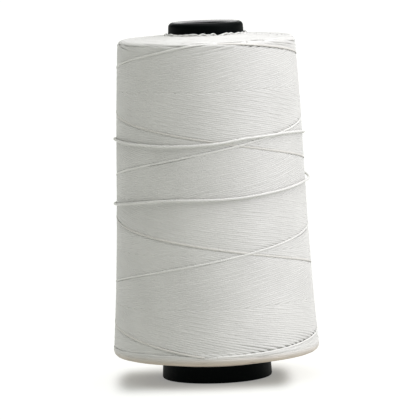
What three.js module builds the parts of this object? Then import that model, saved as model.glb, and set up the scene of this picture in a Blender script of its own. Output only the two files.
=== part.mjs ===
// Waxed thread spool: a hollow tapered plastic core with one continuous waxed thread
// cross-wound on it. Millimetres, +Z up. The origin is at the centre of the core's foot,
// on the surface that the spool stands on, and -Y is the front.
import * as THREE from "three";

// Core
const OVERALL_HEIGHT = 168;
const CORE_FOOT_RADIUS = 25.9;
const CORE_NOSE_RADIUS = 17.6;
const CORE_WALL = 2;
const CORE_FOOT_ROUNDING = 1;
const CORE_NOSE_ROUNDING = 2.2;
const NOSE_LIP_THICKNESS = 2.4;
const NOSE_OPENING_RADIUS = 12.5;
const NOSE_OPENING_ROUNDING = 0.6;

// Thread package
const THREAD_DIAMETER = 0.9;
const PACKAGE_BOTTOM = 11.5;
const PACKAGE_TOP = 160.6;
const PACKAGE_BOTTOM_RADIUS = 48.2;
const PACKAGE_TAPER = 0.045;
const PACKAGE_BOTTOM_ROUNDING = 2.9;
const PACKAGE_TOP_ROUNDING = 2.8;
const BOTTOM_FACE_DROP = 3.5;
const TOP_FACE_RISE = 1.6;

// Winding: the thread guide's travel, with a whole number of turns at the front
const RISE_PITCH = 50.5;
const RISE_FIRST_FRONT_PASS = 59.4;
const FALL_PITCH = 49.5;
const FALL_FIRST_FRONT_PASS = 114.9;
const LOW_REVERSAL = 15.6;
const HIGH_REVERSAL = 160;
const RISE_EASE = 3;
const FALL_EASE = 3;
const RISE_TURNS = [-0.04, 3.0];
const FALL_TURNS = [0.03, 2.9];

// Crossings: the later strand lifts over the earlier one
const CROSSING_ANGLE = 18;
const CROSSING_HALF_WIDTH = 24;
const HALF_TURN = 180;
const LIFT_CREST_SHARE = 0.25;

// First turns of the thread, tied round the core under the package
const ANCHOR_TURNS = 2.5;
const ANCHOR_FOOT = 25;
const ANCHOR_PITCH = 1.4;
const GROOVE_DEPTH = 1.8;
const GROOVE_MARGIN = 1.2;

// Fit and resolution
const GAP = 0.3;
const STRAND_CLEARANCE = 0.45;
const ROUND_SEGMENTS = 48;
const STEPS_PER_TURN = 44;
const LENGTH_SAMPLES_PER_STEP = 4;
const STRAND_SIDES = 6;
const ARC_STEPS = 4;

// The loose tail's route: degrees round from the front, and height. It runs once and
// three quarters round the package, low at first and then high, and its end is tucked
// under its own first turn at the back.
const TAIL_ROUTE = [
  [-112, 83.4],
  [-85, 83.8],
  [-55, 86],
  [-25, 88],
  [10, 88.2],
  [40, 90],
  [70, 92.3],
  [90, 93.4],
  [125, 97],
  [180, 105],
  [235, 112],
  [272, 114.3],
  [308, 113.6],
  [336, 113],
  [364, 113.8],
  [380, 115.5],
  [400, 116.3],
  [415, 116.5],
  [445, 115.2],
  [475, 112],
  [505, 107.6],
  [530, 103.8],
  [548, 101.2],
];
const TAIL_LIFTS = [
  { angle: 112, halfWidth: 45, layers: 1 },
  { angle: 170, halfWidth: 40, layers: 1 },
  { angle: 392, halfWidth: 62, layers: 2 },
];

const corePlastic = new THREE.MeshStandardMaterial({
  color: 0x0b0e0d,
  roughness: 0.42,
  metalness: 0,
});
const waxedThread = new THREE.MeshStandardMaterial({
  color: 0xe9e9e4,
  roughness: 0.62,
  metalness: 0,
});

const radians = THREE.MathUtils.degToRad;

function coreRadius(height) {
  const share = height / OVERALL_HEIGHT;
  return CORE_FOOT_RADIUS + (CORE_NOSE_RADIUS - CORE_FOOT_RADIUS) * share;
}

function packageRadius(height) {
  return PACKAGE_BOTTOM_RADIUS - (height - PACKAGE_BOTTOM) * PACKAGE_TAPER;
}

// Points of a corner arc in the profile plane, from one angle to another in degrees.
function arc(centreRadius, centreHeight, rounding, from, to) {
  const points = [];
  for (let step = 0; step <= ARC_STEPS; step += 1) {
    const angle = radians(from + ((to - from) * step) / ARC_STEPS);
    points.push(
      new THREE.Vector2(
        centreRadius + rounding * Math.cos(angle),
        centreHeight + rounding * Math.sin(angle),
      ),
    );
  }
  return points;
}

// Turns a closed profile of (radius, height) points about the Z axis.
function turned(profile) {
  const closed = [...profile, profile[0].clone()];
  const geometry = new THREE.LatheGeometry(closed, ROUND_SEGMENTS);
  geometry.rotateX(Math.PI / 2);
  return geometry;
}

// A hollow tapered tube. Its nose edge is rounded and turned in to a smaller opening.
function makeCore() {
  const noseInside = coreRadius(OVERALL_HEIGHT - NOSE_LIP_THICKNESS) - CORE_WALL;
  const profile = [
    new THREE.Vector2(CORE_FOOT_RADIUS - CORE_WALL, 0),
    ...arc(CORE_FOOT_RADIUS - CORE_FOOT_ROUNDING, CORE_FOOT_ROUNDING, CORE_FOOT_ROUNDING, -90, 0),
    ...arc(
      CORE_NOSE_RADIUS - CORE_NOSE_ROUNDING,
      OVERALL_HEIGHT - CORE_NOSE_ROUNDING,
      CORE_NOSE_ROUNDING,
      0,
      90,
    ),
    ...arc(
      NOSE_OPENING_RADIUS + NOSE_OPENING_ROUNDING,
      OVERALL_HEIGHT - NOSE_OPENING_ROUNDING,
      NOSE_OPENING_ROUNDING,
      90,
      180,
    ),
    new THREE.Vector2(NOSE_OPENING_RADIUS, OVERALL_HEIGHT - NOSE_LIP_THICKNESS),
    new THREE.Vector2(noseInside, OVERALL_HEIGHT - NOSE_LIP_THICKNESS),
  ];
  return turned(profile);
}

// The wound thread as one ring round the core: slightly domed ends, rounded edges, a
// tapered side, and a groove in its bore for the first turns.
function makePackage() {
  const innerBottom = PACKAGE_BOTTOM - BOTTOM_FACE_DROP;
  const innerTop = PACKAGE_TOP + TOP_FACE_RISE;
  const grooveLow = ANCHOR_FOOT - GROOVE_MARGIN;
  const grooveHigh = ANCHOR_FOOT + ANCHOR_TURNS * ANCHOR_PITCH + GROOVE_MARGIN;
  const bore = (height, depth = 0) =>
    new THREE.Vector2(coreRadius(height) + GAP + depth, height);
  const lowEdge = packageRadius(PACKAGE_BOTTOM + PACKAGE_BOTTOM_ROUNDING);
  const highEdge = packageRadius(PACKAGE_TOP - PACKAGE_TOP_ROUNDING);
  const profile = [
    bore(innerBottom),
    ...arc(
      lowEdge - PACKAGE_BOTTOM_ROUNDING,
      PACKAGE_BOTTOM + PACKAGE_BOTTOM_ROUNDING,
      PACKAGE_BOTTOM_ROUNDING,
      -90,
      0,
    ),
    ...arc(
      highEdge - PACKAGE_TOP_ROUNDING,
      PACKAGE_TOP - PACKAGE_TOP_ROUNDING,
      PACKAGE_TOP_ROUNDING,
      0,
      90,
    ),
    bore(innerTop),
    bore(grooveHigh),
    bore(grooveHigh, GROOVE_DEPTH),
    bore(grooveLow, GROOVE_DEPTH),
    bore(grooveLow),
  ];
  return turned(profile);
}

// A curve round the Z axis, from a function of share that gives its angle from the
// front in degrees, its height and its radius.
class WoundCurve extends THREE.Curve {
  constructor(placeAt, turns) {
    super();
    this.placeAt = placeAt;
    const steps = Math.ceil(Math.abs(turns) * STEPS_PER_TURN);
    this.arcLengthDivisions = steps * LENGTH_SAMPLES_PER_STEP;
  }

  getPoint(share, target = new THREE.Vector3()) {
    const { angle, height, radius } = this.placeAt(share);
    const turn = radians(angle);
    return target.set(radius * Math.sin(turn), -radius * Math.cos(turn), height);
  }
}

// A closed round strand of thread that follows a wound curve.
function strand(placeAt, turns) {
  const section = new THREE.Shape();
  const radius = THREAD_DIAMETER / 2;
  for (let side = 0; side < STRAND_SIDES; side += 1) {
    const angle = (side / STRAND_SIDES) * Math.PI * 2;
    const x = radius * Math.cos(angle);
    const y = radius * Math.sin(angle);
    if (side === 0) section.moveTo(x, y);
    else section.lineTo(x, y);
  }
  section.closePath();
  return new THREE.ExtrudeGeometry(section, {
    steps: Math.ceil(Math.abs(turns) * STEPS_PER_TURN),
    extrudePath: new WoundCurve(placeAt, turns),
  });
}

// Eases a straight climb into a level: above the level it follows the climb.
function easedAbove(level, height, ease) {
  return level + ease * Math.log1p(Math.exp((height - level) / ease));
}

function riseHeight(turns) {
  const climb = RISE_FIRST_FRONT_PASS + RISE_PITCH * (turns - 1);
  return easedAbove(LOW_REVERSAL, climb, RISE_EASE);
}

function fallHeight(turns) {
  const drop = FALL_FIRST_FRONT_PASS - FALL_PITCH * (turns - 1);
  return -easedAbove(-HIGH_REVERSAL, -drop, FALL_EASE);
}

// 1 over the crest of a lift, easing to 0 at its ends.
function lift(distance, halfWidth) {
  const share = THREE.MathUtils.clamp(Math.abs(distance) / halfWidth, 0, 1);
  return 1 - THREE.MathUtils.smoothstep(share, LIFT_CREST_SHARE, 1);
}

// The radius at which a strand lies on the package's outside, the given number of
// strands up. Near the package's rounded edges it follows the rounding inwards.
function lyingRadius(height, layers) {
  const layer = THREAD_DIAMETER + GAP;
  const onSide = packageRadius(height) + STRAND_CLEARANCE + THREAD_DIAMETER / 2;
  const cornerStart = PACKAGE_TOP - PACKAGE_TOP_ROUNDING;
  const climb = Math.max(0, height - cornerStart);
  const reach = PACKAGE_TOP_ROUNDING + STRAND_CLEARANCE + THREAD_DIAMETER / 2;
  const inwards = reach - Math.sqrt(reach * reach - climb * climb);
  return onSide - inwards + layers * layer;
}

function makeRisingTurns() {
  const [first, last] = RISE_TURNS;
  const placeAt = (share) => {
    const turns = first + (last - first) * share;
    const height = riseHeight(turns);
    return { angle: turns * 360, height, radius: lyingRadius(height, 0) };
  };
  return strand(placeAt, last - first);
}

// The falling strand was wound last, so it passes over the rising one twice a turn.
function makeFallingTurns() {
  const [first, last] = FALL_TURNS;
  const placeAt = (share) => {
    const turns = first + (last - first) * share;
    const height = fallHeight(turns);
    const angle = turns * 360;
    const offset = angle - CROSSING_ANGLE;
    const distance = offset - HALF_TURN * Math.round(offset / HALF_TURN);
    const layers = lift(distance, CROSSING_HALF_WIDTH);
    return { angle, height, radius: lyingRadius(height, layers) };
  };
  return strand(placeAt, last - first);
}

// The free end, wrapped loosely round the outside and tucked in at the back.
function makeLooseTail() {
  const [start] = TAIL_ROUTE[0];
  const [end] = TAIL_ROUTE[TAIL_ROUTE.length - 1];
  const knots = TAIL_ROUTE.map(([angle, height]) => new THREE.Vector2(angle, height));
  const route = new THREE.SplineCurve(knots);
  const placeAt = (share) => {
    const { x: angle, y: height } = route.getPoint(share);
    let layers = 0;
    for (const { angle: middle, halfWidth, layers: count } of TAIL_LIFTS) {
      layers += count * lift(angle - middle, halfWidth);
    }
    return { angle, height, radius: lyingRadius(height, layers) };
  };
  return strand(placeAt, (end - start) / 360);
}

// The first turns, which tie the thread to the core before the package is wound.
function makeAnchorTurns() {
  const placeAt = (share) => {
    const turns = ANCHOR_TURNS * share;
    const height = ANCHOR_FOOT + turns * ANCHOR_PITCH;
    const radius = coreRadius(height) + STRAND_CLEARANCE + THREAD_DIAMETER / 2;
    return { angle: turns * 360, height, radius };
  };
  return strand(placeAt, ANCHOR_TURNS);
}

const spool = new THREE.Group();

function addPiece(name, geometry, material) {
  const piece = new THREE.Mesh(geometry, material.clone());
  piece.name = name;
  spool.add(piece);
}

addPiece("core_cone", makeCore(), corePlastic);
addPiece("anchor_turns", makeAnchorTurns(), waxedThread);
addPiece("thread_package", makePackage(), waxedThread);
addPiece("rising_turns", makeRisingTurns(), waxedThread);
addPiece("falling_turns", makeFallingTurns(), waxedThread);
addPiece("loose_tail", makeLooseTail(), waxedThread);

export default spool;
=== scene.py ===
"""A waxed thread spool: a black tapered core with white waxed thread cross-wound on it.

The thread package is wound for real: every pass of the thread is laid on what lies under
it, the oldest first, and each stretch that still shows becomes a tube of thread.
Angles run from the front, -Y, towards +X. The spool's lengths are in millimetres until a
mesh is made, and the materials' and the stage's are in metres.
"""

import math

import bpy
import numpy as np
from mathutils import Matrix, Vector


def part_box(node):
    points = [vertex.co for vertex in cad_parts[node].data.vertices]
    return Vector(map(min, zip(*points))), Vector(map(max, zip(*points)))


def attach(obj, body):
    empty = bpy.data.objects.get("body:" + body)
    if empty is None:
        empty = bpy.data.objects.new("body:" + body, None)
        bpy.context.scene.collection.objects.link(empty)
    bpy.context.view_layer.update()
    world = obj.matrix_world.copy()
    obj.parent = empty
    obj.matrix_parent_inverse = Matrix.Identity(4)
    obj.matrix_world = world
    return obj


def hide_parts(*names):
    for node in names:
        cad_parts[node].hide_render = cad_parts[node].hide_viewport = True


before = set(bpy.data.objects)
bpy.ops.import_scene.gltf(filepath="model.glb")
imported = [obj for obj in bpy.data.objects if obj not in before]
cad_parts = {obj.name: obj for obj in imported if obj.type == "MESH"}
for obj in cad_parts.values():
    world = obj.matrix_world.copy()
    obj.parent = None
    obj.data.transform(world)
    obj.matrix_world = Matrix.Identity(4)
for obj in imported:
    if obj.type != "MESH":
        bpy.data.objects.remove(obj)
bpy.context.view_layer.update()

METRE = 0.001
SEED = 11

# Sizes that the frame holds
core_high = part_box("core_cone")[1] / METRE
package_low, package_high = (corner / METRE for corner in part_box("thread_package"))
CORE_HEIGHT = core_high.z
CORE_FOOT_RADIUS = core_high.x
PACKAGE_INNER_BOTTOM = package_low.z
PACKAGE_INNER_TOP = package_high.z

# Core
CORE_NOSE_RADIUS = 17.6
CORE_WALL = 2.0
CORE_FOOT_ROUNDING = 1.0
CORE_NOSE_ROUNDING = 2.2
NOSE_LIP_THICKNESS = 2.4
NOSE_OPENING_RADIUS = 12.5
NOSE_OPENING_ROUNDING = 0.6
NOSE_DISH = 0.6
FOOT_STEPS = 8
NOSE_STEPS = 12
OPENING_STEPS = 6
CORE_SEGMENTS = 192

# Package outline. Its side swells most at SWELL_HEIGHT, and its waist is half a SWELL_LENGTH away.
PACKAGE_BOTTOM = 11.5
PACKAGE_TOP = 160.6
PACKAGE_BOTTOM_RADIUS = 48.2
PACKAGE_TAPER = 0.045
SIDE_SWELL = 0.35
SWELL_HEIGHT = 135
SWELL_LENGTH = 146
FOOT_FLARE = 0.6
FLARE_LENGTH = 9
BOTTOM_ROUNDING = 2.9
TOP_ROUNDING = 2.8
CORNER_DEGREES = 86
CORNER_STEPS = 24
SIDE_POINTS = 60
NORMAL_EASE = 5
CORE_GAP = 0.3
MEAN_RADIUS = 45

# The mass of thread inside the package
BODY_DEPTH = 1.1
BODY_POINTS = 90
BODY_SEGMENTS = 256

# Thread's half width and half height: pressed flat in the package, rounder where it lies on top
FLAT_SIZE = (0.62, 0.14)
LAST_RISING_SIZE = (0.5, 0.28)
LAST_FALLING_SIZE = (0.5, 0.2)
TAIL_SIZE = (0.58, 0.55)
LOOP_SIZE = (0.4, 0.36)

# Thread's twist: LAY_LENGTH is one whole turn of its plies
PLIES = 3
PLY_GROOVE = 0.16
PLY_SHARPNESS = 1.6
LAY_LENGTH = 4.6

# How high a thread's middle line rests. GIVE is the share of a bump that is pressed in.
FLAT_REST = 0.07
LAST_REST = 0.13
TAIL_REST = 0.85
HELD_WIDTH = 0.25
GIVE = 0.8
LEVEL_REACH = 0.3
LEVEL_TURN = 1
JOIN_LENGTH = 4.0
STRAND_EASE = 50

# The tightest radius that a thread takes over a bump, and the length that evens it out
WOUND_BEND = 14.0
ARC_BEND = 10
TAIL_BEND = 40
BEND_EASE = 0.5

# Winding law. A pitch is the climb in one turn, and a cycle is one trip of the guide up and down.
RISE_PITCH = 50.5
RISE_FIRST_FRONT_PASS = 59.4
FALL_PITCH = 49.5
FALL_FIRST_FRONT_PASS = 114.9
LOW_REVERSAL = 15.6
RISE_TOP = 159.7
FALL_TOP = 160.0
SLOW_EASE = 3.0
QUICK_EASE = 0.7
TURNS_UP = 3.02
WHOLE_TURNS_UP = 3
CYCLES_PER_LAYER = 55
CYCLES = 90
CYCLE_SHIFT = 360 / CYCLES_PER_LAYER
REVERSAL_SPREAD = 0.4
REVERSAL_WIDTH = 0.1
LOW_SPREAD = 0.8
LOW_SPREAD_CYCLES = 6

# Wander, as size, number of waves, shortest and longest wave, and drift from cycle to cycle
SHARED_WANDER = (0.3, 6, 40, 240, 0.02)
OWN_WANDER = (0.045, 5, 14, 60, 0)
LOW_WANDER = (LOW_SPREAD / 2, 4, LOW_SPREAD_CYCLES, 3 * LOW_SPREAD_CYCLES, 0)

# Short arcs on the end faces
CYCLES_PER_FACE_LAYER = 6
ARC_SPACING = 0.95
ARC_DEGREES = 70
ARC_LENGTHS = (0.8, 1.25)
ARCS_ROUND = 7
ARC_SHIFT = 8
ARC_SPREAD = 0.1
ARC_SLANT = 0.3
ARC_BOW = 0.2
ARC_END_SINK = 0.6
ARC_SAG = 0.1
FACE_START = 0.5
FACE_MARGIN = 0.4
FACE_OVERLAP = 0.5

# The winding grid: columns round the package, rows along its outline
COLUMNS = 3000
ROW_STEP = 0.1
COLUMN_ANGLE = 360 / COLUMNS
LEVEL_BLOCKS = 100
BLOCK_COLUMNS = COLUMNS // LEVEL_BLOCKS

# A stretch shows where it comes within SHOW_DEPTH of the top, and runs on past that at both ends
SHOW_DEPTH = 0.06
RUN_MARGIN = 2.4
SHORTEST_RUN = 4

# The loose tail's route: degrees round from the front, and height
TAIL_ROUTE = (
    (-112, 83.4), (-85, 83.8), (-55, 86), (-25, 88), (10, 88.2), (40, 90), (70, 92.3),
    (90, 93.4), (125, 97), (180, 105), (235, 112), (272, 114.3), (308, 113.6), (336, 113),
    (364, 113.8), (380, 115.5), (400, 116.3), (415, 116.5), (445, 115.2), (475, 112),
    (505, 107.6), (530, 103.8), (548, 101.2),
)

# The tail's ends sink into the package, and it stands off where it is slack
TAIL_END_SINK = 1.1
TAIL_END_SHARE = 0.012
TAIL_SLACK = 1.0
TAIL_SLACK_ANGLE = 88
TAIL_SLACK_WIDTH = 13
ROUTE_SAMPLES = 1200

# Loops of thread round the nose
FRINGE_LOOPS = 46
LOOP_POINTS = 15
LOOP_DEGREES = (12, 34)
LOOP_FOOT = 0.35
LOOP_PEAKS = (0.1, 0.8)
LOOP_LEANS = (0.35, 1.3)
LOOP_SPLAY = 0.5

# Tube meshes: the step along a thread, the angles of its corners, and V for each millimetre
FLAT_STEP = 2.0
STRAND_STEP = 0.3
FLAT_TURNS = np.radians([-130, -90, -45, 0, 45, 90, 130])
FLAT_ANGLES = np.arctan2(FLAT_SIZE[0] * np.sin(FLAT_TURNS), FLAT_SIZE[1] * np.cos(FLAT_TURNS))
ROUND_ANGLES = np.radians(np.arange(0, 360, 20))
THREAD_UV = "thread"
V_SCALE = 0.1

# Thread's looks. A noise is its scale and detail, and a bump its strength and distance.
PACKAGE_WHITENESS = 0.505
# Painted light: the last rising turns and the loose end are lighter copies of the same thread, for the
# light that their open tops catch
RISING_LIT_WHITENESS = 0.585
FALLING_WHITENESS = 0.515
TAIL_LIT_WHITENESS = 0.565
THREAD_TINT = (1, 1.001, 0.938)
# Painted shade: the last falling turns are tinted warm, as the shade beneath them
FALLING_SHADE_TINT = (1, 0.982, 0.895)
# Painted shade: the thread turns a darker warm beige below these heights, at the package's bottom edge
BOTTOM_SHADE_TINT = (0.84, 0.72, 0.6, 1)
BOTTOM_SHADE_HEIGHTS = (0.016, 0.0115)
WAX_ROUGHNESS = 0.52
WAX_SHEEN = 0.08
WAX_BUMP = (0.2, 0.00012)
PLY_RELIEF = 0.6
FIBRE_NOISE = (2600, 4)
BLOTCH_NOISE = (55, 5)
BLOTCH_SHARES = (0.96, 1.04)
BLOTCH_EDGES = (0.3, 0.7)

# The core's looks
CORE_BLACK = (0.0002, 0.0007, 0.0006, 1)
CORE_WORN_BLACK = (0.0008, 0.0022, 0.002, 1)
CORE_ROUGHNESS = (0.42, 0.6)
CORE_GLOSS = 0.03
RUBBED_GLOSS = 0.5
CORE_BUMP = (0.12, 0.0001)
MOTTLE_NOISE = (140, 6)

# Camera
LENS = 303.2
SENSOR_WIDTH = 36
CAMERA_DISTANCE = 1.669
CAMERA_ELEVATION = 5.67
CAMERA_ROLL = 1.97
SPOOL_MIDDLE = Vector((0, 0, 0.084))
CAMERA_AIM = Vector((-0.00086, -0.00049, 0.07907))

# Floor, with less glow in a soft patch round the foot: a painted shadow. A pair is a falloff's start and
# end.
FLOOR_RADIUS = 9.0
FLOOR_SIDES = 96
WALL_HEIGHT = 1.1
WALL_FOOT = 0.9
WALL_STEPS = 12
FLOOR_COLOUR = (0.515, 0.53, 0.487, 1)
FOOT_GLOW = 0.25
FLOOR_GLOW = 0.75
WALL_GLOW = 0.3
SHADE_CENTRE = (-0.0065, -0.0095, 0)
SHADE_WIDTH = (0.033, 0.047)
SHADE_DEPTH = (0.003, 0.061)
WALL_REACH = (7.5, 9.0)

# Light
SKY_STRENGTH = 0.03
KEY_COLOUR = (0.96, 0.925, 1.03)
TOP_COLOUR = (0.97, 0.98, 1.05)

rng = np.random.default_rng(SEED)


# ---------------------------------------------------------------- outline of the package


def core_radius(height):
    """The core's outside radius at a height."""
    share = height / CORE_HEIGHT
    return CORE_FOOT_RADIUS + (CORE_NOSE_RADIUS - CORE_FOOT_RADIUS) * share


def side_radius(height):
    """The package's radius on its side: tapered, slightly waisted, flared at the foot."""
    above_foot = height - PACKAGE_BOTTOM
    swell = SIDE_SWELL * np.cos(2 * math.pi * (height - SWELL_HEIGHT) / SWELL_LENGTH)
    flare = FOOT_FLARE * np.exp(-above_foot / FLARE_LENGTH)
    return PACKAGE_BOTTOM_RADIUS - above_foot * PACKAGE_TAPER + swell + flare


def arc(centre_radius, centre_height, rounding, start, end, steps=CORNER_STEPS):
    """Points of a corner arc, as (radius, height), from one angle to another in degrees."""
    angles = np.radians(np.linspace(start, end, steps + 1))
    return np.stack(
        [centre_radius + rounding * np.cos(angles), centre_height + rounding * np.sin(angles)], axis=1
    )


class Outline:
    """The package's outside from the core at the bottom to the core at the top.

    s is the distance along it, and every value is looked up by s.
    """

    def __init__(self):
        low, high = PACKAGE_BOTTOM + BOTTOM_ROUNDING, PACKAGE_TOP - TOP_ROUNDING
        side_heights = np.linspace(low, high, SIDE_POINTS)[1:-1]
        corners = np.concatenate(
            [
                [[core_radius(PACKAGE_INNER_BOTTOM) + CORE_GAP, PACKAGE_INNER_BOTTOM]],
                arc(side_radius(low) - BOTTOM_ROUNDING, low, BOTTOM_ROUNDING, -CORNER_DEGREES, 0),
                np.stack([side_radius(side_heights), side_heights], axis=1),
                arc(side_radius(high) - TOP_ROUNDING, high, TOP_ROUNDING, 0, CORNER_DEGREES),
                [[core_radius(PACKAGE_INNER_TOP) + CORE_GAP, PACKAGE_INNER_TOP]],
            ]
        )
        distance = np.concatenate([[0], np.cumsum(np.linalg.norm(np.diff(corners, axis=0), axis=1))])
        self.length = distance[-1]
        self.rows = int(self.length / ROW_STEP) + 1
        self.s = np.arange(self.rows) * ROW_STEP
        self.radius = np.interp(self.s, distance, corners[:, 0])
        self.height = np.interp(self.s, distance, corners[:, 1])
        along = np.stack([np.gradient(self.radius), np.gradient(self.height)], axis=1)
        along = smooth(along.T, NORMAL_EASE).T
        along /= np.linalg.norm(along, axis=1)[:, None]
        self.normal_radius = along[:, 1]
        self.normal_height = -along[:, 0]

    def s_at_height(self, height):
        """The distance along the outline where it reaches a height."""
        return np.interp(height, self.height, self.s)

    def radius_at(self, s):
        """The package's radius at distances along the outline."""
        return np.interp(s, self.s, self.radius)

    def place(self, s, angle, lift):
        """Points in space, and the outward directions there, for a lift off the outline."""
        radius, height = self.radius_at(s), np.interp(s, self.s, self.height)
        out = np.interp(s, self.s, self.normal_radius)
        up = np.interp(s, self.s, self.normal_height)
        scale = np.hypot(out, up)
        out, up = out / scale, up / scale
        turn = np.radians(angle)
        x, y = np.sin(turn), -np.cos(turn)
        reach = radius + out * lift
        points = np.stack([reach * x, reach * y, height + up * lift], axis=1)
        normals = np.stack([out * x, out * y, up], axis=1)
        return points, normals


def smooth(values, half):
    """A running mean along the last axis, over half samples each way, twice."""
    width = 2 * half + 1
    for _ in range(2):
        edges = [(0, 0)] * (values.ndim - 1) + [(half + 1, half)]
        total = np.cumsum(np.pad(values, edges, mode="edge"), axis=-1)
        values = (total[..., width:] - total[..., :-width]) / width
    return values


# ---------------------------------------------------------------- laying the thread


class Pass:
    """One stretch of thread as laid: columns, distance along the outline, height of its middle."""

    def __init__(self, group, columns, s, lift):
        self.group = group
        self.columns = columns
        self.s = s
        self.lift = lift


class Winding:
    """Lays thread on the package, each pass on what is already there."""

    def __init__(self, outline):
        self.outline = outline
        self.top = np.zeros((outline.rows, COLUMNS), np.float32)
        self.level = np.zeros((outline.rows, LEVEL_BLOCKS))
        self.passes = []
        self.reach = int(max(FLAT_SIZE) / ROW_STEP) + 1

    def cells(self, columns, s):
        """The grid cells under a stretch of thread, and their distance from its middle."""
        offsets = np.arange(-self.reach, self.reach + 1)
        middle = np.rint(s / ROW_STEP).astype(int)
        rows = middle[:, None] + offsets[None, :]
        slope = np.gradient(s) / (self.outline.radius_at(s) * math.radians(COLUMN_ANGLE))
        across = (rows * ROW_STEP - s[:, None]) / np.sqrt(1 + slope**2)[:, None]
        rows = np.clip(rows, 0, self.outline.rows - 1)
        return rows, (columns % COLUMNS)[:, None], across

    def lay(self, group, columns, s, sink=0.0, bend=WOUND_BEND, start_lift=None):
        """Lays one stretch, and gives back the lift at its end."""
        rows, wrapped, across = self.cells(columns, s)
        under = self.top[rows, wrapped]
        support = np.where(np.abs(across) < HELD_WIDTH, under, 0).max(axis=1)
        level = self.level_at(s, columns)
        if group != "tail":
            # Wound under tension, the thread is pressed into the bumps
            support = level + (support - level) * (1 - GIVE)
        step = float(self.outline.radius_at(s).mean() * math.radians(COLUMN_ANGLE))
        lift = bridged(support, step, bend) + rest_height(group) - sink
        if start_lift is not None:
            fade = np.exp(-((np.arange(len(s)) * step / JOIN_LENGTH) ** 2))
            lift = lift + (start_lift - lift[0]) * fade
        self.passes.append(Pass(group, columns, s, lift))
        crown = thread_crown(group, across)
        new = np.where(crown > 0, lift[:, None] + crown, -1.0)
        self.top[rows, wrapped] = np.maximum(under, new)
        return float(lift[-1])

    def settle(self):
        """Takes the mean height of the laid thread round about, past single threads."""
        blocks = self.top.reshape(self.outline.rows, LEVEL_BLOCKS, BLOCK_COLUMNS).mean(axis=2)
        margin = 2 * LEVEL_TURN
        round_about = np.concatenate([blocks[:, -margin:], blocks, blocks[:, :margin]], axis=1)
        blocks = smooth(round_about, LEVEL_TURN)[:, margin:-margin]
        self.level = smooth(blocks.T, int(LEVEL_REACH / ROW_STEP)).T

    def level_at(self, s, columns):
        """The mean height round about, at distances along the outline and grid columns."""
        row = np.clip(s / ROW_STEP, 0, self.outline.rows - 1.001)
        block = (columns / BLOCK_COLUMNS - 0.5) % LEVEL_BLOCKS
        low, left = row.astype(int), block.astype(int) % LEVEL_BLOCKS
        right = (left + 1) % LEVEL_BLOCKS
        up, turn = row - low, block % 1
        at_low = self.level[low, left] * (1 - turn) + self.level[low, right] * turn
        at_high = self.level[low + 1, left] * (1 - turn) + self.level[low + 1, right] * turn
        return at_low * (1 - up) + at_high * up


def half_sizes(group):
    """A thread's half width and half height: flat in the package, round where it lies on top."""
    sizes = {"tail": TAIL_SIZE, "last_rising": LAST_RISING_SIZE, "last_falling": LAST_FALLING_SIZE}
    return sizes.get(group, FLAT_SIZE)


def rest_height(group):
    """How far a thread's middle line lies above what it rests on."""
    heights = {"tail": TAIL_REST, "last_rising": LAST_REST, "last_falling": LAST_REST}
    return heights.get(group, FLAT_REST)


def thread_crown(group, across):
    """How high a thread's surface stands over its middle line, at a distance across it."""
    half_width, half_height = half_sizes(group)
    return half_height * np.sqrt(np.maximum(1 - (across / half_width) ** 2, 0))


def bridged(support, step, bend):
    """The line that a taut thread takes over its supports, never bent tighter than bend."""
    span = int(math.sqrt(2 * bend * 2 * FLAT_SIZE[1]) / step) + 1
    line = support.copy()
    for shift in range(1, span + 1):
        drop = (shift * step) ** 2 / (2 * bend)
        line[shift:] = np.maximum(line[shift:], support[:-shift] - drop)
        line[:-shift] = np.maximum(line[:-shift], support[shift:] - drop)
    return smooth(line, max(1, int(BEND_EASE / step)))


def eased_above(level, height, ease):
    """A height that follows a straight climb, and eases into a level instead of crossing it."""
    return level + ease * np.logaddexp(0, (height - level) / ease)


def rise_height(turns):
    """The guide's height on its way up."""
    climb = RISE_FIRST_FRONT_PASS + RISE_PITCH * (turns - 1)
    climb = eased_above(LOW_REVERSAL, climb, SLOW_EASE)
    return -eased_above(-RISE_TOP, -climb, QUICK_EASE)


def fall_height(turns):
    """The guide's height on its way down."""
    drop = FALL_FIRST_FRONT_PASS - FALL_PITCH * (turns - 1)
    drop = -eased_above(-FALL_TOP, -drop, SLOW_EASE)
    return eased_above(LOW_REVERSAL, drop, QUICK_EASE)


class Wander:
    """A smooth sideways wander, which drifts a little from one cycle to the next."""

    def __init__(self, size, waves, shortest, longest, drift):
        self.size = size / math.sqrt(waves / 2)
        self.lengths = np.exp(rng.uniform(math.log(shortest), math.log(longest), waves))
        self.phases = rng.uniform(0, 2 * math.pi, waves)
        self.drift = rng.normal(0, drift, waves)

    def at(self, distance, age):
        """The wander at distances along the thread, so many cycles before the last."""
        phase = self.phases + age * self.drift
        waves = np.sin(distance[:, None] * (2 * math.pi / self.lengths) + phase)
        return self.size * waves.sum(axis=1)


def pass_columns(first_turn, last_turn, shift):
    """Grid columns of a stretch from one turn to another, shifted on by an angle."""
    first = math.ceil((first_turn * 360 + shift) / COLUMN_ANGLE)
    last = math.floor((last_turn * 360 + shift) / COLUMN_ANGLE)
    return np.arange(first, last + 1)


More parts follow.
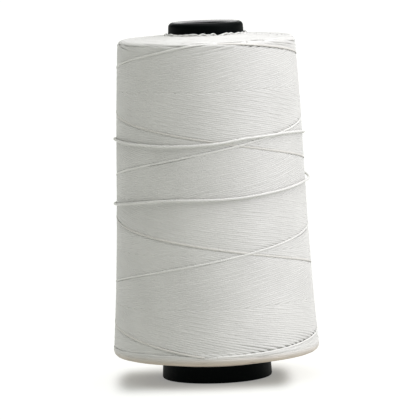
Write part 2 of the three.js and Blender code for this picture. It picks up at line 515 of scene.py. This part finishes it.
def lay_face(winding, group, s_low, s_high):
    """Adds to an end face and its edge the short arcs that the reversals leave there."""
    outline = winding.outline
    for level in np.arange(s_low + rng.uniform(0, ARC_SPACING), s_high, ARC_SPACING):
        start = rng.uniform(0, 360)
        for index in range(ARCS_ROUND):
            middle = start + index * 360 / ARCS_ROUND + rng.uniform(-ARC_SHIFT, ARC_SHIFT)
            half = 0.5 * ARC_DEGREES * rng.uniform(*ARC_LENGTHS)
            columns = np.arange(int((middle - half) / COLUMN_ANGLE), int((middle + half) / COLUMN_ANGLE))
            share = np.linspace(-1, 1, len(columns))
            bow = rng.normal(0, ARC_SLANT) * share + rng.normal(0, ARC_BOW) * share**2
            s = level + rng.normal(0, ARC_SPREAD) + bow
            s = np.clip(s, FACE_MARGIN, outline.length - FACE_MARGIN)
            sink = ARC_END_SINK * np.abs(share) ** 5 + ARC_SAG * share**2
            winding.lay(group, columns, s, sink=sink, bend=ARC_BEND)
    winding.settle()


def lay_cycle(winding, age, drifts, start_lift):
    """One trip of the thread guide up and down, age cycles before the last.

    The reversals lie at ends, as distances along the outline.
    """
    outline = winding.outline
    shift = age * CYCLE_SHIFT
    last = age == 0
    low_drop = LOW_SPREAD + drifts["low"].at(np.array([age]), 0)[0]
    low_end = outline.s_at_height(LOW_REVERSAL) - max(low_drop, 0) * min(age / LOW_SPREAD_CYCLES, 1)
    high_end = outline.s_at_height(RISE_TOP) + rng.uniform(-REVERSAL_SPREAD, REVERSAL_SPREAD)
    fall_start, fall_end = TURNS_UP - WHOLE_TURNS_UP, WHOLE_TURNS_UP - CYCLE_SHIFT / 360
    for way, height_of, first, end, ends in (
        ("rising", rise_height, 0.0, TURNS_UP, (low_end, high_end)),
        ("falling", fall_height, fall_start, fall_end, (high_end, low_end)),
    ):
        columns = pass_columns(first, end, shift)
        turns = (columns * COLUMN_ANGLE - shift) / 360
        height = height_of(turns)
        if not last:
            distance = columns * math.radians(COLUMN_ANGLE) * MEAN_RADIUS
            own = Wander(*OWN_WANDER)
            height = height + drifts[way].at(distance, age) + own.at(distance, 0)
        s = outline.s_at_height(height)
        s = s + (ends[0] - s[0]) * nearness(turns, first) + (ends[1] - s[-1]) * nearness(turns, end)
        group = f"last_{way}" if last else way
        start_lift = winding.lay(group, columns, s, start_lift=start_lift)
    winding.settle()
    return start_lift


def nearness(turns, reversal):
    """1 at a reversal, falling smoothly almost to 0 a fifth of a turn away."""
    return np.exp(-(((turns - reversal) / REVERSAL_WIDTH) ** 2))


def wind_package():
    """Winds the outer shell of the package, the end faces with it."""
    outline = Outline()
    winding = Winding(outline)
    low_turn = float(outline.s_at_height(LOW_REVERSAL))
    high_turn = float(outline.s_at_height(RISE_TOP))
    drifts = {way: Wander(*SHARED_WANDER) for way in ("rising", "falling")}
    drifts["low"] = Wander(*LOW_WANDER)
    start_lift = None
    for age in reversed(range(CYCLES)):
        if age % CYCLES_PER_FACE_LAYER == CYCLES_PER_FACE_LAYER - 1:
            lay_face(winding, "bottom_face", FACE_START, low_turn + FACE_OVERLAP)
            lay_face(winding, "top_face", high_turn - FACE_OVERLAP, outline.length - FACE_MARGIN)
        start_lift = lay_cycle(winding, age, drifts, start_lift)
    return winding


def lay_tail(winding):
    """The free end, wrapped loosely by hand over the finished package."""
    angles, heights = smooth_route(TAIL_ROUTE)
    columns = np.arange(math.ceil(angles[0] / COLUMN_ANGLE), math.floor(angles[-1] / COLUMN_ANGLE))
    height = np.interp(columns * COLUMN_ANGLE, angles, heights)
    share = np.linspace(0, 1, len(columns))
    at_start = np.exp(-(share / TAIL_END_SHARE) ** 2)
    at_end = np.exp(-((1 - share) / TAIL_END_SHARE) ** 2)
    at_slack = np.exp(-(((columns * COLUMN_ANGLE - TAIL_SLACK_ANGLE) / TAIL_SLACK_WIDTH) ** 2))
    sink = TAIL_END_SINK * at_start + TAIL_END_SINK * at_end - TAIL_SLACK * at_slack
    winding.lay("tail", columns, winding.outline.s_at_height(height), sink=sink, bend=TAIL_BEND)


def smooth_route(knots):
    """A Catmull-Rom curve through a list of (angle, height) knots."""
    knots = np.array(knots, float)
    padded = np.concatenate([[2 * knots[0] - knots[1]], knots, [2 * knots[-1] - knots[-2]]])
    share = np.linspace(0, len(knots) - 1, ROUTE_SAMPLES)
    index = np.minimum(share.astype(int), len(knots) - 2)
    t = (share - index)[:, None]
    a, b, c, d = (padded[index + k] for k in range(4))
    curve = 0.5 * (
        2 * b + (c - a) * t + (2 * a - 5 * b + 4 * c - d) * t**2 + (3 * b - a - 3 * c + d) * t**3
    )
    return curve[:, 0], curve[:, 1]


# ---------------------------------------------------------------- thread meshes


class ThreadMesh:
    """Collects tubes of thread into one mesh."""

    def __init__(self, name):
        self.name = name
        self.points = []
        self.quads = []
        self.fans = []
        self.uv = []
        self.count = 0

    def add(self, centres, outward, angles, sections):
        """A tube round centres. sections gives each ring's radii at angles from its top."""
        rings, sides = sections.shape
        tangent = np.gradient(centres, axis=0)
        tangent /= np.linalg.norm(tangent, axis=1)[:, None]
        normal = outward - tangent * np.sum(outward * tangent, axis=1)[:, None]
        normal /= np.linalg.norm(normal, axis=1)[:, None]
        side = np.cross(tangent, normal)
        ring = (
            centres[:, None, :]
            + sections[:, :, None] * np.cos(angles)[None, :, None] * normal[:, None, :]
            + sections[:, :, None] * np.sin(angles)[None, :, None] * side[:, None, :]
        )
        points = np.concatenate([ring.reshape(-1, 3), centres[:1], centres[-1:]])
        self.points.append(points)
        here = np.arange(rings - 1)[:, None] * sides + np.arange(sides)[None, :]
        next_side = np.arange(rings - 1)[:, None] * sides + (np.arange(sides)[None, :] + 1) % sides
        quads = np.stack([here, next_side, next_side + sides, here + sides], axis=-1).reshape(-1, 4)
        self.quads.append(quads + self.count)
        self.uv.append(tube_uv(centres, angles))
        self.fans.append(end_fans(rings, sides) + self.count)
        self.count += len(points)

    def build(self, material):
        """Makes the mesh, and gives back its object."""
        points = np.concatenate(self.points) * METRE
        quads, fans = np.concatenate(self.quads), np.concatenate(self.fans)
        mesh = bpy.data.meshes.new(self.name)
        mesh.vertices.add(len(points))
        mesh.vertices.foreach_set("co", points.astype(np.float32).ravel())
        loops = np.concatenate([quads.ravel(), fans.ravel()])
        mesh.loops.add(len(loops))
        mesh.loops.foreach_set("vertex_index", loops.astype(np.int32))
        starts = np.concatenate([np.arange(len(quads)) * 4, len(quads) * 4 + np.arange(len(fans)) * 3])
        mesh.polygons.add(len(starts))
        mesh.polygons.foreach_set("loop_start", starts.astype(np.int32))
        layer = mesh.uv_layers.new(name=THREAD_UV)
        uv = np.concatenate([np.concatenate(self.uv), np.zeros((len(fans) * 3, 2))])
        layer.data.foreach_set("uv", uv.astype(np.float32).ravel())
        mesh.polygons.foreach_set("use_smooth", np.ones(len(starts), bool))
        mesh.update(calc_edges=True)
        mesh.validate()
        mesh.materials.append(material)
        piece = bpy.data.objects.new(self.name, mesh)
        bpy.context.scene.collection.objects.link(piece)
        return piece


def lengths_along(centres):
    """The distance from the first centre to each, along the line through them."""
    return np.concatenate([[0], np.cumsum(np.linalg.norm(np.diff(centres, axis=0), axis=1))])


def tube_uv(centres, angles):
    """A tube's UV at each quad's corners: U runs once round it, and V along it."""
    rings, sides = len(centres), len(angles)
    length = lengths_along(centres)
    u = np.append(angles, angles[0] + 2 * math.pi) / (2 * math.pi)
    corner_u = np.stack([u[:-1], u[1:], u[1:], u[:-1]], axis=1)
    corner_u = np.broadcast_to(corner_u, (rings - 1, sides, 4))
    corner_v = np.stack([length[:-1], length[:-1], length[1:], length[1:]], axis=1)
    corner_v = np.broadcast_to(corner_v[:, None, :], (rings - 1, sides, 4))
    return np.stack([corner_u, corner_v * V_SCALE], axis=-1).reshape(-1, 2)


def end_fans(rings, sides):
    """The triangles that close a tube's two ends, round the last two of its points."""
    first = np.arange(sides)
    start_fan = np.stack([(first + 1) % sides, first, np.full(sides, rings * sides)], axis=1)
    end_fan = np.stack([first, (first + 1) % sides, np.full(sides, rings * sides + 1)], axis=1)
    end_fan[:, :2] += (rings - 1) * sides
    return np.concatenate([start_fan, end_fan])


def oval(angles, size):
    """The radius of an oval of half width and half height, at angles from its top."""
    return 1 / np.hypot(np.cos(angles) / size[1], np.sin(angles) / size[0])


def twisted(centres, angles, size):
    """The rings of a twisted thread: the plies stand out as rounded lobes that turn."""
    turn = lengths_along(centres) * 2 * math.pi / LAY_LENGTH
    lobe = np.abs(np.sin(0.5 * PLIES * (angles[None, :] + turn[:, None])))
    return oval(angles, size) * (1 - PLY_GROOVE * (1 - lobe) ** PLY_SHARPNESS)


def visible_runs(winding, laid):
    """The stretches of a pass that still show, as slices."""
    rows, wrapped, across = winding.cells(laid.columns, laid.s)
    crown = thread_crown(laid.group, across)
    own = laid.lift[:, None] + crown
    shows = ((crown > 0) & (own > winding.top[rows, wrapped] - SHOW_DEPTH)).any(axis=1)
    margin = int(RUN_MARGIN / (MEAN_RADIUS * math.radians(COLUMN_ANGLE)))
    spread = np.convolve(shows, np.ones(2 * margin + 1), mode="same") > 0
    edges = np.flatnonzero(np.diff(np.concatenate([[0], spread.astype(int), [0]])))
    shortest = 2 * margin + SHORTEST_RUN
    return [slice(a, b) for a, b in zip(edges[::2], edges[1::2], strict=True) if b - a > shortest]


def placed(winding, laid, run, step):
    """Evenly stepped centres of a stretch of thread, and the outward directions there.

    The lift is measured from the mean level, so that the finished surface keeps to the outline.
    """
    outline = winding.outline
    s, columns = laid.s[run], laid.columns[run]
    lift = laid.lift[run] - winding.level_at(s, columns)
    if half_sizes(laid.group) != FLAT_SIZE:
        lift = smooth(lift, STRAND_EASE)
    column_width = outline.radius_at(s).mean() * math.radians(COLUMN_ANGLE)
    count = max(3, int(len(s) * column_width / step) + 1)
    pick = np.linspace(0, len(s) - 1, count)
    index = np.arange(len(s))
    s, columns, lift = (np.interp(pick, index, values) for values in (s, columns, lift))
    return outline.place(s, columns * COLUMN_ANGLE, lift)


def package_meshes(winding, material):
    """The wound thread that shows, in one mesh for each way of winding, half and end face."""
    meshes = {}
    middle = winding.outline.length / 2
    for laid in winding.passes:
        if half_sizes(laid.group) != FLAT_SIZE:
            continue
        for run in visible_runs(winding, laid):
            half = "lower" if laid.s[run].mean() < middle else "upper"
            name = f"{half}_{laid.group}_thread"
            mesh = meshes.setdefault(name, ThreadMesh(name))
            centres, outward = placed(winding, laid, run, FLAT_STEP)
            section = np.broadcast_to(oval(FLAT_ANGLES, FLAT_SIZE), (len(centres), len(FLAT_ANGLES)))
            mesh.add(centres, outward, FLAT_ANGLES, section)
    return [mesh.build(material) for mesh in meshes.values()]


def strand_piece(winding, group, name, material):
    """One detailed strand of twisted thread, for a stretch that lies open on the package."""
    mesh = ThreadMesh(name)
    for laid in winding.passes:
        if laid.group == group:
            centres, outward = placed(winding, laid, slice(None), STRAND_STEP)
            section = twisted(centres, ROUND_ANGLES, half_sizes(group))
            mesh.add(centres, outward, ROUND_ANGLES, section)
    return mesh.build(material)


def make_fringe(material):
    """Small loops of thread that stand up round the nose, where the top face meets the core."""
    mesh = ThreadMesh("loops_round_nose")
    share = np.linspace(0, 1, LOOP_POINTS)
    for index in range(FRINGE_LOOPS):
        start = (index + rng.uniform(-0.5, 0.5)) * 360 / FRINGE_LOOPS
        turn = np.radians(start + rng.uniform(*LOOP_DEGREES) * share)
        peak = rng.uniform(*LOOP_PEAKS)
        height = PACKAGE_INNER_TOP - LOOP_FOOT + (peak + LOOP_FOOT) * np.sin(math.pi * share) ** 1.5
        lean = rng.uniform(*LOOP_LEANS)
        radius = core_radius(height) + lean + LOOP_SPLAY * (2 * share - 1) ** 2
        outward = np.stack([np.sin(turn), -np.cos(turn), np.zeros(len(share))], axis=1)
        centres = outward * radius[:, None] + np.stack([share * 0, share * 0, height], axis=1)
        section = twisted(centres, FLAT_ANGLES, LOOP_SIZE)
        mesh.add(centres, outward, FLAT_ANGLES, section)
    return mesh.build(material)


# ---------------------------------------------------------------- turned pieces


def turned(name, profile, segments, material):
    """A closed solid of revolution from (radius, height) points."""
    profile = np.array(profile, float)
    count = len(profile)
    angles = np.arange(segments) * 2 * math.pi / segments
    points = np.stack(
        [
            profile[None, :, 0] * np.sin(angles)[:, None],
            -profile[None, :, 0] * np.cos(angles)[:, None],
            np.broadcast_to(profile[None, :, 1], (segments, count)),
        ],
        axis=-1,
    ).reshape(-1, 3)
    here = np.arange(segments)[:, None] * count + np.arange(count)[None, :]
    above = np.arange(segments)[:, None] * count + (np.arange(count)[None, :] + 1) % count
    ahead = (here + count) % (segments * count)
    ahead_above = (above + count) % (segments * count)
    quads = np.stack([here, ahead, ahead_above, above], axis=-1).reshape(-1, 4)
    mesh = bpy.data.meshes.new(name)
    mesh.from_pydata((points * METRE).tolist(), [], quads.tolist())
    mesh.polygons.foreach_set("use_smooth", np.ones(len(quads), bool))
    mesh.materials.append(material)
    piece = bpy.data.objects.new(name, mesh)
    bpy.context.scene.collection.objects.link(piece)
    return piece


def make_core(material, rim_material):
    """The hollow core. Its nose is turned in, and the dished rim there is rubbed glossy."""
    foot, nose, opening = CORE_FOOT_ROUNDING, CORE_NOSE_ROUNDING, NOSE_OPENING_ROUNDING
    lip = CORE_HEIGHT - NOSE_LIP_THICKNESS
    dished = CORE_HEIGHT - NOSE_DISH
    profile = np.concatenate(
        [
            [[CORE_FOOT_RADIUS - CORE_WALL, 0]],
            arc(CORE_FOOT_RADIUS - foot, foot, foot, -90, 0, FOOT_STEPS),
            arc(CORE_NOSE_RADIUS - nose, CORE_HEIGHT - nose, nose, 0, 90, NOSE_STEPS),
            arc(NOSE_OPENING_RADIUS + opening, dished - opening, opening, 90, 180, OPENING_STEPS),
            [[NOSE_OPENING_RADIUS, lip]],
            [[core_radius(lip) - CORE_WALL, lip]],
        ]
    )
    core = turned("core", profile, CORE_SEGMENTS, material)
    core.data.materials.append(rim_material)
    rim_radius = (CORE_NOSE_RADIUS - CORE_NOSE_ROUNDING) * METRE
    for face in core.data.polygons:
        on_top = face.center.z > (CORE_HEIGHT - NOSE_LIP_THICKNESS / 2) * METRE
        if on_top and face.center.xy.length < rim_radius:
            face.material_index = 1
    return core


def make_package_body(winding, material):
    """The mass of thread under the outer windings, just below what shows."""
    outline = winding.outline
    pick = np.linspace(0, outline.rows - 1, BODY_POINTS).astype(int)
    outside = np.stack(
        [
            outline.radius[pick] - outline.normal_radius[pick] * BODY_DEPTH,
            outline.height[pick] - outline.normal_height[pick] * BODY_DEPTH,
        ],
        axis=1,
    )
    bore = [[core_radius(height) + CORE_GAP, height] for height in outside[[0, -1], 1]]
    profile = np.concatenate([[bore[0]], outside[1:-1], [bore[1]]])
    return turned("package_body", profile, BODY_SEGMENTS, material)


# ---------------------------------------------------------------- materials


def principled(name):
    """A new material, its node tree and its shader."""
    material = bpy.data.materials.new(name)
    material.use_nodes = True
    shader = material.node_tree.nodes["Principled BSDF"]
    return material, material.node_tree, shader


def computed(tree, operation, *values):
    """The result of a sum on values, each a number or another node's output."""
    node = tree.nodes.new("ShaderNodeMath")
    node.operation = operation
    for socket, value in zip(node.inputs, values, strict=False):
        if isinstance(value, (int, float)):
            socket.default_value = value
        else:
            tree.links.new(value, socket)
    return node.outputs[0]


def ranged(tree, value, reach, results, shape="SMOOTHSTEP"):
    """A change of a value from one result to another over a reach, smooth unless shape says so."""
    step = tree.nodes.new("ShaderNodeMapRange")
    step.interpolation_type = shape
    for socket, number in zip(("From Min", "From Max", "To Min", "To Max"), reach + results, strict=True):
        step.inputs[socket].default_value = number
    tree.links.new(value, step.inputs["Value"])
    return step.outputs[0]


def split_up(tree, vector):
    """The outputs X, Y and Z of a vector."""
    split = tree.nodes.new("ShaderNodeSeparateXYZ")
    tree.links.new(vector, split.inputs[0])
    return split.outputs


def position(tree):
    """Where a point lies in its piece, in metres."""
    return tree.nodes.new("ShaderNodeTexCoord").outputs["Object"]


def noise(tree, scale, detail):
    """A noise pattern that is fixed to the piece."""
    pattern = tree.nodes.new("ShaderNodeTexNoise")
    pattern.inputs["Scale"].default_value = scale
    pattern.inputs["Detail"].default_value = detail
    tree.links.new(position(tree), pattern.inputs["Vector"])
    return pattern.outputs["Fac"]


def add_bump(tree, shader, height, strength, distance):
    """Gives a surface a relief."""
    bump = tree.nodes.new("ShaderNodeBump")
    bump.inputs["Strength"].default_value = strength
    bump.inputs["Distance"].default_value = distance
    tree.links.new(height, bump.inputs["Height"])
    tree.links.new(bump.outputs["Normal"], shader.inputs["Normal"])


def ramp_colour(tree, value, edges, colours):
    """The colour of a value on a ramp from one colour to another, between two edges."""
    ramp = tree.nodes.new("ShaderNodeValToRGB")
    for element, edge, colour in zip(ramp.color_ramp.elements, edges, colours, strict=True):
        element.position = edge
        element.color = colour
    tree.links.new(value, ramp.inputs["Fac"])
    return ramp.outputs["Color"]


def thread_colour(brightness, tint):
    """A shade of the thread, given as its red and the other colours' shares of it."""
    return tuple(brightness * share for share in tint) + (1,)


def twist_relief(tree):
    """Slanting plies, and the fibres in them."""
    uv = tree.nodes.new("ShaderNodeUVMap")
    uv.uv_map = THREAD_UV
    split = split_up(tree, uv.outputs["UV"])
    turns = computed(tree, "MULTIPLY", split["Y"], 1 / (V_SCALE * LAY_LENGTH))
    phase = computed(tree, "MULTIPLY", computed(tree, "ADD", turns, split["X"]), PLIES * math.pi)
    ridge = computed(tree, "ABSOLUTE", computed(tree, "SINE", phase))
    return computed(tree, "MULTIPLY_ADD", ridge, PLY_RELIEF, noise(tree, *FIBRE_NOISE))


def painted_bottom_shade(tree, colour):
    """A colour that turns a darker warm beige at the package's bottom edge: painted shade."""
    near_edge = ranged(tree, split_up(tree, position(tree))["Z"], BOTTOM_SHADE_HEIGHTS, (0, 1))
    mix = tree.nodes.new("ShaderNodeMix")
    mix.data_type = "RGBA"
    mix.blend_type = "MULTIPLY"
    colour_in, tint_in, colour_out = mix.inputs[6], mix.inputs[7], mix.outputs[2]
    tree.links.new(near_edge, mix.inputs["Factor"])
    tree.links.new(colour, colour_in)
    tint_in.default_value = BOTTOM_SHADE_TINT
    return colour_out


def thread_material(name, brightness, tint=THREAD_TINT):
    """White waxed thread: twisted plies as bump, slightly uneven whiteness, soft wax sheen."""
    material, tree, shader = principled(name)
    shader.inputs["Roughness"].default_value = WAX_ROUGHNESS
    shader.inputs["Sheen Weight"].default_value = WAX_SHEEN
    add_bump(tree, shader, twist_relief(tree), *WAX_BUMP)
    shades = (thread_colour(brightness * share, tint) for share in BLOTCH_SHARES)
    blotched = ramp_colour(tree, noise(tree, *BLOTCH_NOISE), BLOTCH_EDGES, shades)
    # The bottom edge gets a painted warm shade
    tree.links.new(painted_bottom_shade(tree, blotched), shader.inputs["Base Color"])
    return material


def core_material(name, gloss_level):
    """Black moulded plastic with a faint uneven gloss."""
    material, tree, shader = principled(name)
    shader.inputs["Specular IOR Level"].default_value = gloss_level
    mottle = noise(tree, *MOTTLE_NOISE)
    roughness = ranged(tree, mottle, (0, 1), CORE_ROUGHNESS, "LINEAR")
    tree.links.new(roughness, shader.inputs["Roughness"])
    colour = ramp_colour(tree, mottle, (0, 1), (CORE_BLACK, CORE_WORN_BLACK))
    tree.links.new(colour, shader.inputs["Base Color"])
    add_bump(tree, shader, mottle, *CORE_BUMP)
    return material


def floor_material():
    """Matt white that glows a little, less so close round the spool's foot, where the drop in glow is a
    painted shadow.
    """
    material, tree, shader = principled("studio_white")
    shader.inputs["Base Color"].default_value = FLOOR_COLOUR
    shader.inputs["Roughness"].default_value = 1.0
    shader.inputs["Specular IOR Level"].default_value = 0.0
    shader.inputs["Emission Color"].default_value = (1, 1, 1, 1)
    away = tree.nodes.new("ShaderNodeVectorMath")
    away.operation = "SUBTRACT"
    away.inputs[1].default_value = SHADE_CENTRE
    tree.links.new(position(tree), away.inputs[0])
    either_way = tree.nodes.new("ShaderNodeVectorMath")
    either_way.operation = "ABSOLUTE"
    tree.links.new(away.outputs["Vector"], either_way.inputs[0])
    split = split_up(tree, either_way.outputs["Vector"])
    across = ranged(tree, split["X"], SHADE_WIDTH, (1, 0))
    along = ranged(tree, split["Y"], SHADE_DEPTH, (1, 0))
    # Painted shadow: the glow drops in a soft patch round the foot
    near = ranged(tree, computed(tree, "MULTIPLY", across, along), (0, 1), (FLOOR_GLOW, FOOT_GLOW))
    distance = tree.nodes.new("ShaderNodeVectorMath")
    distance.operation = "LENGTH"
    tree.links.new(away.outputs["Vector"], distance.inputs[0])
    far = ranged(tree, distance.outputs["Value"], WALL_REACH, (0, WALL_GLOW))
    tree.links.new(computed(tree, "ADD", near, far), shader.inputs["Emission Strength"])
    return material


# ---------------------------------------------------------------- the stage


def look_from(viewpoint, target):
    """The rotation of something that looks from a place at a target, its top up."""
    return (target - viewpoint).to_track_quat("-Z", "Y").to_matrix().to_4x4()


def from_bearing(azimuth, elevation):
    """A direction from the spool. Azimuth runs from the front to the right, in degrees."""
    around, up = math.radians(azimuth), math.radians(elevation)
    return Vector((math.sin(around) * math.cos(up), -math.cos(around) * math.cos(up), math.sin(up)))


def make_camera():
    """The camera, a little above the spool's middle and turned a little about its view."""
    data = bpy.data.cameras.new("camera")
    data.lens = LENS
    data.sensor_width = SENSOR_WIDTH
    camera = bpy.data.objects.new("camera", data)
    bpy.context.scene.collection.objects.link(camera)
    viewpoint = SPOOL_MIDDLE + from_bearing(0, CAMERA_ELEVATION) * CAMERA_DISTANCE
    roll = Matrix.Rotation(math.radians(-CAMERA_ROLL), 4, "Z")
    camera.matrix_world = Matrix.Translation(viewpoint) @ look_from(viewpoint, CAMERA_AIM) @ roll
    bpy.context.scene.camera = camera


def add_light(name, kind, azimuth, elevation, distance, power, colour=(1, 1, 1)):
    """A light that looks at the spool's middle. power is in watts, or a sun's strength."""
    data = bpy.data.lights.new(name, kind)
    data.energy = power
    data.color = colour
    light = bpy.data.objects.new(name, data)
    bpy.context.scene.collection.objects.link(light)
    place = SPOOL_MIDDLE + from_bearing(azimuth, elevation) * distance
    light.matrix_world = Matrix.Translation(place) @ look_from(place, SPOOL_MIDDLE)
    return light


def make_floor():
    """A white studio floor that curves up into a wall far off all round, so no horizon shows."""
    bend = np.radians(np.linspace(-90, 0, WALL_STEPS + 1))
    flat = FLOOR_RADIUS - WALL_FOOT
    radius = np.concatenate([flat + WALL_FOOT * np.cos(bend), [FLOOR_RADIUS]])
    height = np.concatenate([WALL_FOOT + WALL_FOOT * np.sin(bend), [WALL_HEIGHT]])
    angles = np.arange(FLOOR_SIDES) * 2 * math.pi / FLOOR_SIDES
    points = [
        (r * math.cos(a), r * math.sin(a), h) for r, h in zip(radius, height, strict=True) for a in angles
    ]
    points.append((0, 0, 0))
    ahead = [(side + 1) % FLOOR_SIDES for side in range(FLOOR_SIDES)]
    faces = [(side, ahead[side], len(points) - 1) for side in range(FLOOR_SIDES)]
    for ring in range(len(radius) - 1):
        low, high = ring * FLOOR_SIDES, (ring + 1) * FLOOR_SIDES
        faces += [(low + ahead[k], low + k, high + k, high + ahead[k]) for k in range(FLOOR_SIDES)]
    mesh = bpy.data.meshes.new("studio_floor")
    mesh.from_pydata(points, [], faces)
    mesh.polygons.foreach_set("use_smooth", np.ones(len(faces), bool))
    floor = bpy.data.objects.new("studio_floor", mesh)
    bpy.context.scene.collection.objects.link(floor)
    mesh.materials.append(floor_material())


def make_world():
    """A faint even white sky."""
    world = bpy.data.worlds.new("studio_sky")
    world.use_nodes = True
    background = world.node_tree.nodes["Background"]
    background.inputs["Color"].default_value = (1, 1, 1, 1)
    background.inputs["Strength"].default_value = SKY_STRENGTH
    bpy.context.scene.world = world


def make_lights():
    """Soft daylight on everything. Gives back the lights for the spool, and one for its core."""
    daylight = add_light("daylight", "SUN", azimuth=150, elevation=78, distance=3.0, power=1.8)
    daylight.data.angle = math.radians(110)
    key = add_light("key", "AREA", azimuth=66, elevation=31, distance=1.2, power=11.1, colour=KEY_COLOUR)
    key.data.size = 0.9
    overhead = add_light("overhead", "SUN", azimuth=60, elevation=80, distance=3.0, power=2.0)
    overhead.data.angle = math.radians(60)
    top = add_light(
        "top_light", "AREA", azimuth=60, elevation=80, distance=0.4, power=0.4, colour=TOP_COLOUR
    )
    top.data.size = 0.2
    rim = add_light("rim_light", "AREA", azimuth=180, elevation=35, distance=0.6, power=1.6)
    rim.data.size = 0.4
    return (key, overhead, top), rim


def light_only(lights, pieces):
    """Keeps some lights for some pieces, so that they cast no shadow on the floor."""
    lit = bpy.data.collections.new("lit_by_" + lights[0].name)
    for piece in pieces:
        lit.objects.link(piece)
    for light in lights:
        light.light_linking.receiver_collection = lit


# ---------------------------------------------------------------- building


def make_spool():
    """Every piece of the spool, the core first."""
    winding = wind_package()
    lay_tail(winding)
    thread = thread_material("waxed_thread", PACKAGE_WHITENESS)
    # The last rising turns and the loose end are copies of the thread painted lighter, for the light they
    # catch
    rising_thread = thread_material("waxed_thread_last_rising", RISING_LIT_WHITENESS)
    # The last falling turns are a copy of the thread with a painted warm shade
    falling_thread = thread_material("waxed_thread_last_falling", FALLING_WHITENESS, FALLING_SHADE_TINT)
    loose_thread = thread_material("waxed_thread_loose_end", TAIL_LIT_WHITENESS)
    plastic = core_material("core_plastic", CORE_GLOSS)
    rubbed_plastic = core_material("core_plastic_rubbed", RUBBED_GLOSS)
    core = make_core(plastic, rubbed_plastic)
    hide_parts("core_cone")
    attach(core, "root")
    pieces = package_meshes(winding, thread)
    body = make_package_body(winding, thread)
    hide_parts("thread_package")
    fringe = make_fringe(thread)
    strands = [body, fringe, *pieces]
    for group, name, node, material in (
        ("last_rising", "last_rising_turns", "rising_turns", rising_thread),
        ("last_falling", "last_falling_turns", "falling_turns", falling_thread),
        ("tail", "loose_tail_strand", "loose_tail", loose_thread),
    ):
        strand = strand_piece(winding, group, name, material)
        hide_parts(node)
        strands.append(strand)
    for strand in strands:
        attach(strand, "root")
    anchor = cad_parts["anchor_turns"]
    anchor.material_slots[0].material = thread
    return [core, anchor, *strands]


bpy.context.scene.view_settings.view_transform = "Standard"
make_camera()
make_floor()
make_world()
spool_lights, rim_light = make_lights()
spool = make_spool()
light_only(spool_lights, spool)
light_only([rim_light], spool[:1])
